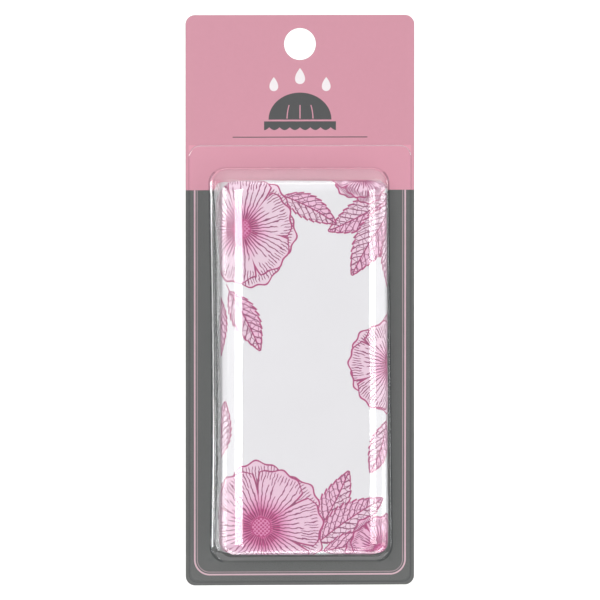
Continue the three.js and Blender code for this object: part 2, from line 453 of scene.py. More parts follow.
def build_card():
    def outline(grow, r):
        x, n = CARD_W / 2 + grow, 18
        pts = []
        for cx, cz, a0 in (
            (x - r, CARD_BOTTOM - grow + r, -90),
            (x - r, CARD_TOP + grow - r, 0),
            (-x + r, CARD_TOP + grow - r, 90),
            (-x + r, CARD_BOTTOM - grow + r, 180),
        ):
            for i in range(n + 1):
                a = math.radians(a0 + 90 * i / n)
                pts.append((cx + r * math.cos(a), cz + r * math.sin(a)))
        return pts

    def circle(r):
        n = 96
        return [(r * math.cos(2 * math.pi * i / n), r * math.sin(2 * math.pi * i / n)) for i in range(n)]

    chamfer = 0.07
    levels = [(-CARD_T, -chamfer), (-CARD_T + chamfer, 0.0), (-chamfer, 0.0), (0.0, -chamfer)]
    verts, outer, inner = [], [], []
    for y, grow in levels:
        loop = outline(grow, CARD_CORNER + grow)
        outer.append(list(range(len(verts), len(verts) + len(loop))))
        verts += [(p[0], y, p[1]) for p in loop]
        loop = circle(HOLE_R - grow)
        inner.append(list(range(len(verts), len(verts) + len(loop))))
        verts += [(p[0], y, p[1]) for p in loop]
    faces, index = [], []
    for level, kind in ((0, 0), (3, 2)):
        ids = outer[level] + inner[level]
        tris = tessellate_polygon(
            [[Vector((verts[i][0], verts[i][2], 0)) for i in outer[level]], [Vector((verts[i][0], verts[i][2], 0)) for i in inner[level]]]
        )
        for tri in tris:
            f = [ids[i] for i in tri]
            a, b_, c_ = (np.array(verts[i]) for i in f)
            up = np.cross(b_ - a, c_ - a)[1]
            if (up > 0) != (kind == 2):
                f.reverse()
            faces.append(tuple(f))
            index.append(kind)
    for k in range(3):
        for ring, turn in ((outer, False), (inner, True)):
            n = len(ring[k])
            for i in range(n):
                j = (i + 1) % n
                f = (ring[k][i], ring[k][j], ring[k + 1][j], ring[k + 1][i])
                faces.append(f if turn else tuple(reversed(f)))
                index.append(1)
    ob = make(
        "card",
        verts,
        faces,
        [card_front(), card_board("card_edge", dim(srgb(186, 178, 172), EXPOSE), False), card_board("card_back", dim(srgb(226, 223, 216), EXPOSE))],
        index,
        flat=True,
    )
    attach(ob, "card")
    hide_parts("hang_card")
    return ob


# ---------------------------------------------------------------- blister
def clear_film(name, straight, grazing, haze_and_painted_light=0.0, tint=(0.962, 0.966, 0.971), along=(0.70, 0.72, 0.75)):
    """Clear film with the given reflectance straight on and at grazing angles, a little darker where it is looked
    along. Its white veil is
    how much white diffuse is mixed in: a real haze on some faces, painted light lifting the shade seen through others."""
    m = bpy.data.materials.new(name)
    m.use_nodes = True
    t = m.node_tree
    t.nodes.clear()
    out = t.nodes.new("ShaderNodeOutputMaterial")
    see = t.nodes.new("ShaderNodeBsdfTransparent")
    shine = t.nodes.new("ShaderNodeBsdfGlossy")
    shine.inputs["Color"].default_value = (1, 1, 1, 1)
    shine.inputs["Roughness"].default_value = 0.07
    lw = t.nodes.new("ShaderNodeLayerWeight")
    lw.inputs["Blend"].default_value = 0.5
    facing = Num(t, lw.outputs["Facing"])
    square = facing * facing
    path = t.nodes.new("ShaderNodeLightPath")
    lit = Num(t, path.outputs["Is Shadow Ray"]).max(Num(t, path.outputs["Is Diffuse Ray"]))
    share = (square * square * facing * grazing + straight) * (1.0 - lit)  # light falling through it isn't dimmed
    clear = mix_colour(t, (square * square) ** 2.0 * (1.0 - lit), tint, along)
    clear = mix_colour(t, lit, clear, (1.0, 1.0, 1.0))
    t.links.new(clear, see.inputs["Color"])
    mix = t.nodes.new("ShaderNodeMixShader")
    t.links.new(share.socket, mix.inputs[0])
    t.links.new(see.outputs[0], mix.inputs[1])
    t.links.new(shine.outputs[0], mix.inputs[2])
    # white diffuse mixed in: a real haze on the walls, painted light on the top rim and on the top and bottom walls
    if haze_and_painted_light:
        white_diffuse = t.nodes.new("ShaderNodeBsdfDiffuse")
        white_diffuse.inputs["Color"].default_value = (0.9, 0.9, 0.9, 1)
        both = t.nodes.new("ShaderNodeMixShader")
        both.inputs[0].default_value = haze_and_painted_light
        t.links.new(mix.outputs[0], both.inputs[1])
        t.links.new(white_diffuse.outputs[0], both.inputs[2])
        mix = both
    t.links.new(mix.outputs[0], out.inputs["Surface"])
    return m


FILM = 0.32  # thickness of the film


def build_blister():
    nx, nz, nc = 26, 76, 12
    midz = (DOME_TOP + DOME_BOTTOM) / 2
    halfz = (DOME_TOP - DOME_BOTTOM) / 2
    draft, side_r, end_r, deep_r = 2.5, 11.0, 3.3, 7.4
    top_r = FLANGE_R + 1.1
    front_x, front_z = DOME_X - draft - side_r, halfz - draft - end_r
    gx, gz = front_x - 3.0, front_z - 3.0
    verts = []
    for k in range(nz + 1):
        for i in range(nx + 1):
            verts.append((-gx + 2 * gx * i / nx, 0.0, midz - gz + 2 * gz * k / nz, DOME_FRONT))
    faces = grid_faces(nx, nz)
    # rings from the front's flat part out over the rounded edge, down the wall and along the flange
    rings = [(front_x - 1.4, front_z - 1.4, 2.4, 2.4, DOME_FRONT, 0), (front_x, front_z, 4.2, 4.2, DOME_FRONT, 0)]
    steps = 14
    lean = math.atan2(draft, DOME_FRONT - 0.5)
    for i in range(1, steps + 1):
        a = (math.pi / 2 - lean) * i / steps
        rings.append(
            (front_x + side_r * math.sin(a), front_z + end_r * math.sin(a), 4.2 + 0.9 * i / steps, 4.2 + 0.9 * i / steps, DOME_FRONT - deep_r * (1 - math.cos(a)), 0)
        )
    x0, z0, d0 = rings[-1][0], rings[-1][1], rings[-1][4]
    foot = 1.1
    for i in range(1, 8):
        u = i / 7
        d = d0 + (0.5 + foot - d0) * u
        rings.append((x0 + (DOME_X - x0) * u, z0 + (halfz - z0) * u, 5.1 + 1.2 * u, 5.1 + 1.2 * u, d, min(max((18 - d) / 16, 0), 1)))
    for i in range(1, 6):
        a = math.pi / 2 * i / 5
        rings.append((DOME_X, halfz, 6.3, 6.3, 0.5 + foot * (1 - math.sin(a)), 1 + foot * (1 - math.cos(a))))
    edge = grid_edge(nx, nz, nc)
    wob = waves(11, 7, 22, 60)
    bend, roll = set(), set()
    for hx, hz, rx, rz, d, bow in rings:
        p, way = ring_points(-hx, hx, midz - hz, midz + hz, rx, rz, nx, nz, nc)
        run = np.clip((midz + halfz - p[:, 1]) / (2 * halfz), 0, 1)
        left = smooth(-12, -30, p[:, 0])
        right = smooth(12, 30, p[:, 0])
        p += way * (np.where(way[:, 0] < 0, 0.5 - 0.4 * way[:, 0], 0.5 + 0.2 * way[:, 0]) * max(bow - 1, 0))[:, None]
        p[:, 0] += min(bow, 1) * (left * (0.55 + 0.45 * run + (0.6 + 0.6 * run) * np.sin(math.pi * run)) + right * (1.5 * run - 1.4))
        p[:, 0] += right * (0.5 + 0.5 * run) * float(smooth(1.2, 8.0, d))
        ids = list(range(len(verts), len(verts) + len(p)))
        verts += [(a, 0.0, c, d) for a, c in p]
        faces += join_rings(edge, ids)
        edge = ids
        # the outer part of the foot's roll, which takes the darker tint of a painted dark line
        if d < 0.5 + 0.06 * foot:
            bend.update(ids)
        if d < 0.5 + 0.8 * foot:
            roll.update(ids)
    # flange, eased from the dome's foot to its own outline
    foot_ring = np.array([verts[i] for i in edge])
    fz = (FLANGE_TOP + FLANGE_BOTTOM) / 2
    fh = (FLANGE_TOP - FLANGE_BOTTOM) / 2
    rim, _ = ring_points(-FLANGE_X, FLANGE_X, fz - fh, fz + fh, FLANGE_R, FLANGE_R, nx, nz, nc)
    wider, _ = ring_points(-FLANGE_X, FLANGE_X, fz - fh, fz + fh, top_r, top_r, nx, nz, nc)
    rim = np.where(rim[:, 1:] > fz, wider, rim)
    for u, drop in ((0.045, 0), (0.25, 0), (0.5, 0), (0.75, 0), (0.91, 0), (0.93, 0.0), (0.95, 0.015), (0.967, 0.05), (0.984, 0.10), (1.0, 0.17)):
        p = foot_ring[:, [0, 2]] * (1 - u) + rim * u
        ids = list(range(len(verts), len(verts) + len(p)))
        verts += [(a, 0.0, c, 0.5 - drop) for a, c in p]
        faces += join_rings(edge, ids)
        edge = ids
        if u < 0.1:
            bend.update(ids)
    v = np.array(verts)
    crown = np.clip(1 - (v[:, 0] / front_x) ** 2, 0, 1) * np.clip(1 - ((v[:, 2] - midz) / front_z) ** 2, 0, 1)
    d = v[:, 3] + np.where(v[:, 3] > DOME_FRONT - 1e-6, 0.12 * crown, 0) + 0.05 * wob(v[:, 0], v[:, 2]) * smooth(14, 21, v[:, 3])
    pts = np.stack([v[:, 0], -(CARD_T + d), v[:, 2]], 1)
    one = len(pts)
    base = faces
    pts, faces, side = thicken(pts, faces, 0.0, FILM)
    # the cut edge and the foot of the bottom wall are dull and the drawn walls slightly hazy; the rolled edge along the
    # top has a white veil, a painted highlight; the top and bottom walls have a whiter veil and a lighter tint, painted
    # light over the shade seen through them; the foot's roll has a darker tint, a painted dark line
    past = np.hypot(np.maximum(np.abs(pts[:, 0]) - FLANGE_X + FLANGE_R, 0), np.maximum(FLANGE_BOTTOM + FLANGE_R - pts[:, 2], 0))
    cut = (np.abs(pts[:, 0]) > FLANGE_X - 0.75) | (pts[:, 2] < FLANGE_BOTTOM + 0.75) | (past > FLANGE_R - 1.1)
    low = (pts[:, 1] > -CARD_T - 2.0) & (pts[:, 2] < DOME_BOTTOM + 2.0) & (pts[:, 2] > DOME_BOTTOM - 1.4) & (np.abs(pts[:, 0]) < DOME_X - 4.5)
    foot_corner = (pts[:, 1] > -CARD_T - 2.0) & (pts[:, 2] < DOME_BOTTOM + 6.0) & (pts[:, 2] > DOME_BOTTOM - 1.4) & (np.abs(pts[:, 0]) < DOME_X + 1.5)
    wall = (pts[:, 1] > -CARD_T - 15.0) & (pts[:, 1] < -CARD_T - 1.5)
    head = (pts[:, 1] > -CARD_T - 21.0) & (pts[:, 1] < -CARD_T - 1.0) & (pts[:, 2] > DOME_TOP - 4.4)
    up = np.hypot(np.maximum(np.abs(pts[:, 0]) - FLANGE_X + top_r, 0), np.maximum(pts[:, 2] - FLANGE_TOP + top_r, 0))
    lip = (pts[:, 2] > FLANGE_TOP - top_r) & (up > top_r - 0.62)
    index = []
    for k, f in zip(side, faces):
        f = list(f)
        # the rolled top edge: a white veil, a painted highlight
        if k == 0 and lip[f].all():
            index.append(3)
        elif k == 2:
            index.append(7)
        elif cut[f].all() or low[f].all():
            index.append(2)
        # the foot's roll: a darker tint, a painted dark line, fainter along the top
        elif k == 0 and bend.issuperset(f):
            index.append(10 if pts[f, 2].min() > DOME_TOP - 1.5 else 8)
        elif k == 0 and roll.issuperset(f) and DOME_BOTTOM + 5.0 < pts[f, 2].min() and pts[f, 2].max() < DOME_TOP - 4.0:
            index.append(11)
        elif k == 0 and foot_corner[f].all():
            index.append(6)
        # the top wall: a whiter veil and a lighter tint, painted light over the shade above the cap
        elif k == 0 and head[f].all():
            index.append(5)
        elif k == 0 and wall[f].all():
            # the walls: slightly hazy, and near the bottom a whiter veil, painted light over the shade under the cap
            index.append(9 if pts[f, 2].max() < DOME_BOTTOM + 4.0 else 4)
        else:
            index.append(k)
    films = [
        clear_film("film_outside", 0.042, 0.9),
        clear_film("film_inside", 0.01, 0.0, tint=(0.99, 0.991, 0.993), along=(0.88, 0.89, 0.90)),
        clear_film("film_edge", 0.0, 0.0),
        # white veil: a painted highlight along the flange's top edge
        clear_film("film_lip_painted_highlight", 0.03, 0.2, 0.2),
        clear_film("film_wall", 0.042, 0.9, 0.02),
        # painted light: a whiter veil and a lighter tint over the shade above the cap
        clear_film("film_top_wall_painted_light", 0.042, 0.9, 0.17, along=(0.94, 0.94, 0.95)),
        clear_film("film_foot", 0.006, 0.1, 0.03),
        clear_film("film_cut", 0.0, 0.0, tint=(0.5, 0.53, 0.57)),
        # darker tints: a painted dark line along the foot's roll, fainter along the top
        clear_film("film_bend_painted_shade", 0.01, 0.15, tint=(0.62, 0.64, 0.66)),
        # painted light: a whiter veil and a lighter tint over the shade under the cap
        clear_film("film_low_wall_painted_light", 0.03, 0.5, 0.32, along=(0.92, 0.92, 0.93)),
        clear_film("film_top_bend_painted_shade", 0.01, 0.15, tint=(0.88, 0.88, 0.89)),
        clear_film("film_roll", 0.2, 0.9),
    ]
    ob = make("blister", pts, faces, films, index)
    global WITHIN
    WITHIN = BVHTree.FromPolygons(pts[one:].tolist(), [tuple(reversed(f)) for f in base])
    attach(ob, "blister")
    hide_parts("blister_shell")
    return ob


# ---------------------------------------------------------------- print on the cap
INK = dim(srgb(174, 12, 106), EXPOSE)
INK_DEEP = dim(srgb(88, 24, 70), EXPOSE)
WASH = dim(srgb(245, 174, 213), EXPOSE)
WASH_DEEP = dim(srgb(212, 70, 146), EXPOSE)
CLOTH = dim(srgb(237, 235, 238), EXPOSE)


PLACE = ("U", "V", "Vary", "Net")
DRAWN = ("Line", "Wash", "Deep")


def drawing(name, keys, draw):
    """A node group for one kind of motif. It takes a place on the flat cloth in mm, the drawing so far and its own sizes, and gives
    the drawing with the motif laid over it. draw returns what the motif covers, its lines, its tint and its darker lines."""
    g = bpy.data.node_groups.new(name, "ShaderNodeTree")
    for key in (*PLACE, *DRAWN, *keys):
        g.interface.new_socket(name=key, in_out="INPUT", socket_type="NodeSocketFloat")
    for key in DRAWN:
        g.interface.new_socket(name=key, in_out="OUTPUT", socket_type="NodeSocketFloat")
    src, dst = g.nodes.new("NodeGroupInput"), g.nodes.new("NodeGroupOutput")
    get = lambda key: Num(g, src.outputs[key])
    below = [get(key) for key in DRAWN]
    u = get("U") + below[0] * 1e-6  # so that motifs are worked out one after another
    inside, *made = draw(g, u, get("V"), get("Vary"), get("Net"), *(get(key) for key in keys))
    keep = 1.0 - inside
    for key, old, new in zip(DRAWN, below, made):
        g.links.new((old * keep).max(new).socket, dst.inputs[key])
    return g


def draw_petals(g, u, v, vary, net, cx, cz, size, width, count, turn, seed, tint):
    dx, dz = u - cx, v - cz
    r = (dx * dx + dz * dz).sqrt()
    a0 = math_node(g, "ARCTAN2", dz, dx) - turn
    sector = (2 * math.pi) / count
    k = (a0 / sector).round()
    local = a0 - k * sector
    k = math_node(g, "FLOORED_MODULO", k + 0.25, count)
    rnd = white(g, k * 1.37 + seed)
    a, b = r * local.cos(), r * local.sin()
    length = size * (rnd * 0.14 + 0.88)
    run = (a / length).max(0.0)
    half = (run * 1.46 - run * run * run * 0.46) * width + 0.2
    q = b / width
    tip = length * (1.0 - q * q * 0.2) + ((q * 8.5 + rnd * 9.0).sin()) * size * 0.022
    f = (abs(b) - half).max(a - tip)
    ahead = a > 0.0
    inside = f.step(0.05, -0.05) * ahead
    wide = vary * 0.34 + 0.62
    edge = (abs(f) / wide).step(0.54, 0.34) * ahead
    across = b / half
    s = across * 4.0 + (vary - 0.5) * 0.9
    near = s.round()
    gap = abs(s - near) * half * 0.25
    reach = white(g, near * 3.1 + k * 7.7 + seed)
    vein = (gap / wide).step(0.38, 0.2) * (a - length * 0.16).step(0.0, 0.8) * (a - length * (reach * 0.42 + 0.5)).step(0.6, -0.6)
    s = across * 8.0 + (vary - 0.5) * 1.4
    near = s.round()
    gap = abs(s - near) * half * 0.125
    reach = white(g, near * 1.9 + k * 4.3 + seed + 3.0)
    fine = (gap / wide).step(0.3, 0.14) * (a - length * (0.62 + reach * 0.2)).step(0.0, 0.8) * (a - length * 0.93).step(0.5, -0.5)
    veins = vein.max(fine) * inside
    glow = (run - 0.1).step(0.5, 0.0)
    return inside, edge.max(veins), inside * (glow * 0.6 + 0.27) * tint, veins


def draw_heart(g, u, v, vary, net, cx, cz, core, seed):
    dx, dz = u - cx, v - cz
    r = (dx * dx + dz * dz).sqrt() + (vary - 0.5) * 0.8
    th = math_node(g, "ARCTAN2", dz, dx)
    disc = (r - core).step(0.1, -0.1)
    spokes = abs((th * 17.0 + seed).sin()).step(0.75, 0.95) * (r - core).step(-0.1, 0.1) * (r - core * 1.9).step(0.5, -0.5)
    grid = ((dx * 3.9 + vary * 4.0).sin() * (dz * 3.9 - vary * 3.0).sin()).step(0.0, 0.3)
    ring = stroke(abs(r - core), 0.4, 0.06)
    return disc, ring.max(disc * grid).max(spokes), disc * 0.9, disc * 0.0


def draw_leaf(g, u, v, vary, net, bx, bz, cosine, sine, length, width, bend, seed):
    dx, dz = u - bx, v - bz
    a = dx * cosine + dz * sine
    b = dz * cosine - dx * sine
    run = (a / length).max(0.0).min(1.0)
    b = b - run * (1.0 - run) * bend * length
    lobe = ((run**0.85) * math.pi).sin().max(0.0) ** 0.9
    above = b > 0.0
    tooth = (a / 2.6 + above * 0.5 + seed)._op("FRACT")
    half = lobe * width * (tooth * 0.16 + 0.9)
    f = abs(b) - half
    span = (run > 0.004) * (run < 0.996)
    inside = f.step(0.05, -0.05) * span
    wide = vary * 0.34 + 0.62
    edge = (abs(f) / wide).step(0.52, 0.32) * span
    rib = (abs(b) / wide).step(0.42, 0.24) * (a + length * 0.12).step(0.0, 0.3) * (run < 0.97)
    s = (a - abs(b) * 1.05 - b * b * 0.05) / 3.1 + (vary - 0.5) * 0.7 + above * 0.5
    gap = abs(s - s.round()) * (3.1 * 0.66)
    within = inside * (abs(b) - half * 0.96).step(0.1, -0.1)
    vein = (gap / wide).step(0.36, 0.2) * within
    mesh = (net / wide).step(0.24, 0.1) * within
    return inside, edge.max(rib).max(vein).max(mesh * 0.9), inside * (above * 0.16 + 0.3), vein.max(mesh)


class Print:
    """Line drawings laid over each other on the flat cloth, each hiding what is under it."""

    def __init__(self, t, u, v, vec):
        self.t, self.u, self.v = t, u, v
        self.vary = noise(t, vec, 0.35, 2.0, 0.5)
        cells = t.nodes.new("ShaderNodeTexVoronoi")
        cells.feature = "DISTANCE_TO_EDGE"
        cells.voronoi_dimensions = "2D"
        cells.inputs["Scale"].default_value = 0.42
        t.links.new(vec, cells.inputs["Vector"])
        self.net = Num(t, cells.outputs["Distance"]) / 0.42
        self.so_far = None
        self.petals = drawing("petals", ("X", "Z", "Size", "Width", "Count", "Turn", "Seed", "Tint"), draw_petals)
        self.heart = drawing("heart", ("X", "Z", "Core", "Seed"), draw_heart)
        self.blade = drawing("blade", ("X", "Z", "Cos", "Sin", "Length", "Width", "Bend", "Seed"), draw_leaf)

    def lay(self, group, *values):
        n = self.t.nodes.new("ShaderNodeGroup")
        n.node_tree = group
        for key, num in zip(PLACE, (self.u, self.v, self.vary, self.net)):
            self.t.links.new(num.socket, n.inputs[key])
        for i, key in enumerate(DRAWN):
            if self.so_far:
                self.t.links.new(self.so_far[i].socket, n.inputs[key])
            else:
                n.inputs[key].default_value = 0.0
        for i, value in enumerate(values):
            n.inputs[len(PLACE) + len(DRAWN) + i].default_value = value
        self.so_far = [Num(self.t, n.outputs[key]) for key in DRAWN]
        self.line, self.wash, self.deep = self.so_far

    def blossom(self, cx, cz, size, width, count, turn, seed, tint):
        self.lay(self.petals, cx, cz, size, width, count, turn + math.pi / count, seed, tint * 0.85)
        self.lay(self.petals, cx, cz, size * 0.93, width, count, turn, seed + 20.0, tint)
        self.lay(self.heart, cx, cz, size * 0.15, seed)

    def leaf(self, bx, bz, angle, length, width, bend, seed):
        a = math.radians(angle)
        self.lay(self.blade, bx, bz, math.cos(a), math.sin(a), length, width, bend, seed)


def printed_cloth():
    m, t, b = material("printed_cloth", Roughness=0.5, IOR=1.45, Sheen_Weight=0.12, Sheen_Roughness=0.4)
    uvn = t.nodes.new("ShaderNodeUVMap")
    uvn.uv_map = "Flat"
    sep = t.nodes.new("ShaderNodeSeparateXYZ")
    t.links.new(uvn.outputs[0], sep.inputs[0])
    u, v = Num(t, sep.outputs[0]), Num(t, sep.outputs[1])
    vec = uvn.outputs[0]
    p = Print(t, u, v, vec)
    for leaf in (
        (36, -60, 208, 30, 6.2, 0.10, 1.0),
        (37, -63, 238, 34, 6.8, -0.10, 2.0),
        (39, -70, 262, 27, 5.6, -0.12, 3.0),
        (-8, -60, -28, 24, 4.8, 0.14, 4.0),
        (-30, -98, -62, 27, 5.4, 0.12, 5.0),
        (-36, -100, -88, 24, 5.0, -0.1, 6.0),
        (4, -196, 62, 30, 6.0, -0.12, 7.0),
        (6, -198, 34, 31, 6.4, 0.1, 8.0),
        (8, -202, 8, 27, 5.6, 0.12, 9.0),
        (-38, -166, 76, 25, 5.2, -0.1, 10.0),
        (34, -150, 250, 22, 4.6, 0.1, 11.0),
    ):
        p.leaf(*leaf)
    for blossom in (
        (-25, -73, 24.5, 9.4, 6, 0.35, 10.0, 1.05),
        (37, -128, 21.0, 8.2, 6, 0.9, 40.0, 1.15),
        (-17, -192, 26.0, 10.0, 6, 0.1, 70.0, 1.4),
        (31, -201, 14.5, 5.6, 6, 0.6, 90.0, 2.0),
        (24, -50, 13.0, 5.0, 6, 0.2, 120.0, 1.2),
    ):
        p.blossom(*blossom)
    mottle = noise(t, vec, 0.05, 3.0, 0.5)
    base = mix_colour(t, mottle, dim(CLOTH, 0.985), dim(CLOTH, 1.015))
    c = mix_colour(t, (p.wash * 2.0).clip() * 0.8, base, WASH)
    c = mix_colour(t, ((p.wash - 0.5) * 2.0).clip() * 0.8, c, WASH_DEEP)
    inked = mix_colour(t, (p.deep * 0.6).clip(), INK, INK_DEEP)
    c = mix_colour(t, (p.line * 0.94).clip(), c, inked)
    t.links.new(c, b.inputs["Base Color"])
    # plain weave, and the ink a little duller than the cloth
    wx = (u * (2 * math.pi / 0.42)).sin()
    wz = (v * (2 * math.pi / 0.42)).sin()
    weave = wx * wz
    soft = noise(t, vec, 0.6, 3.0, 0.5)
    rough = 0.46 + p.line * 0.14 + (soft - 0.5) * 0.12
    t.links.new(rough.socket, b.inputs["Roughness"])
    bump(t, b, weave * 0.35 + soft * 0.65, 0.22, 0.00008)
    return m


def plain_cloth(name, colour, rough, pitch):
    m, t, b = material(name, Roughness=rough, IOR=1.45, Sheen_Weight=0.1)
    vec, x, y, z = object_mm(t)
    soft = noise(t, vec, 0.5, 3.0, 0.5)
    c = mix_colour(t, soft, dim(colour, 0.93), dim(colour, 1.05))
    t.links.new(c, b.inputs["Base Color"])
    wx = (x * (2 * math.pi / pitch)).sin()
    wz = (z * (2 * math.pi / pitch)).sin()
    bump(t, b, wx * wz * 0.4 + soft * 0.6, 0.25, 0.00008)
    r = (soft - 0.5) * 0.2 + rough
    t.links.new(r.socket, b.inputs["Roughness"])
    return m


# ---------------------------------------------------------------- folded cap
def fold_line(start, layers, inner, outer, step, rng, tail):
    """A pleated line in X and depth: from start = (x, depth) towards the middle, then to and fro, each layer one step further out.
    inner and outer give the turns' places by depth. Returns points with a mark of how near each is to an outer turn."""
    pts, mark = [], []
    x, d = start
    inward = True
    r = step / 2

    def run(x1, d1):
        n = max(2, int(abs(x1 - x) / 4.2))
        for i in range(1, n + 1):
            pts.append((x + (x1 - x) * i / n, d1))
            mark.append(i / n if not inward else 1 - i / n)

    for layer in range(layers):
        last = layer == layers - 1
        if inward:
            x1 = tail if last else inner(d) + rng.uniform(-0.5, 0.9)
        else:
            x1 = outer(d) + rng.uniform(-0.9, 0.3) - r
        run(x1, d)
        x = x1
        if last:
            break
        for i in range(1, 7):
            a = math.pi * i / 6
            s = -1 if inward else 1
            pts.append((x + s * r * math.sin(a), d + r * (1 - math.cos(a))))
            mark.append(0.0 if inward else 1.0)
        d += step
        inward = not inward
    return np.array(pts), np.array(mark)


def bake_map(ob, flat, side, split=55.0):
    """A second map of the cloth, without overlaps, in which the printed front takes most of the room and the pleats little."""
    me = ob.data
    point = np.zeros(len(me.loops), np.int32)
    me.loops.foreach_get("vertex_index", point)
    count = np.zeros(len(me.polygons), np.int32)
    me.polygons.foreach_get("loop_total", count)
    owner = np.repeat(np.arange(len(count)), count)
    at = np.asarray(flat, float)[point]
    mean = np.bincount(owner, at[:, 0]) / count
    far = np.abs(flat[:, 0]).max() + 0.5
    low, high = flat[:, 1].min() - 0.5, flat[:, 1].max() + 0.5
    side = np.asarray(side)
    out = np.zeros_like(at)
    out[:, 1] = 0.006 + 0.988 * (at[:, 1] - low) / (high - low)
    x = 0.006
    front = split + 6.0
    for back, wide, ends in ((0, 0.63, 0.07), (1, 0.085, 0.04)):
        for here, a, b, room in (
            (np.abs(mean) <= split, -front, front, wide),
            (mean > split, split - 6.0, far, ends),
            (mean < -split, -far, 6.0 - split, ends),
        ):
            mine = (here & (side == back))[owner]
            out[mine, 0] = x + room * (at[mine, 0] - a) / (b - a)
            x += room + 0.008
    # the cut edges have no width of their own on the flat cloth, so they share one small patch
    start = np.concatenate([[0], np.cumsum(count)[:-1]])
    nth = np.arange(len(point)) - start[owner]
    edge = (side == 2)[owner]
    patch = np.array([(0.0, 0.0), (0.008, 0.0), (0.008, 0.01), (0.0, 0.01)])
    out[edge] = patch[nth[edge] % 4] + (x, 0.01)
    layer = me.uv_layers.new(name="OFBake")
    layer.data.foreach_set("uv", out.astype(np.float32).ravel())
    me.uv_layers["Flat"].active_render = True
    me.uv_layers.active = me.uv_layers["Flat"]


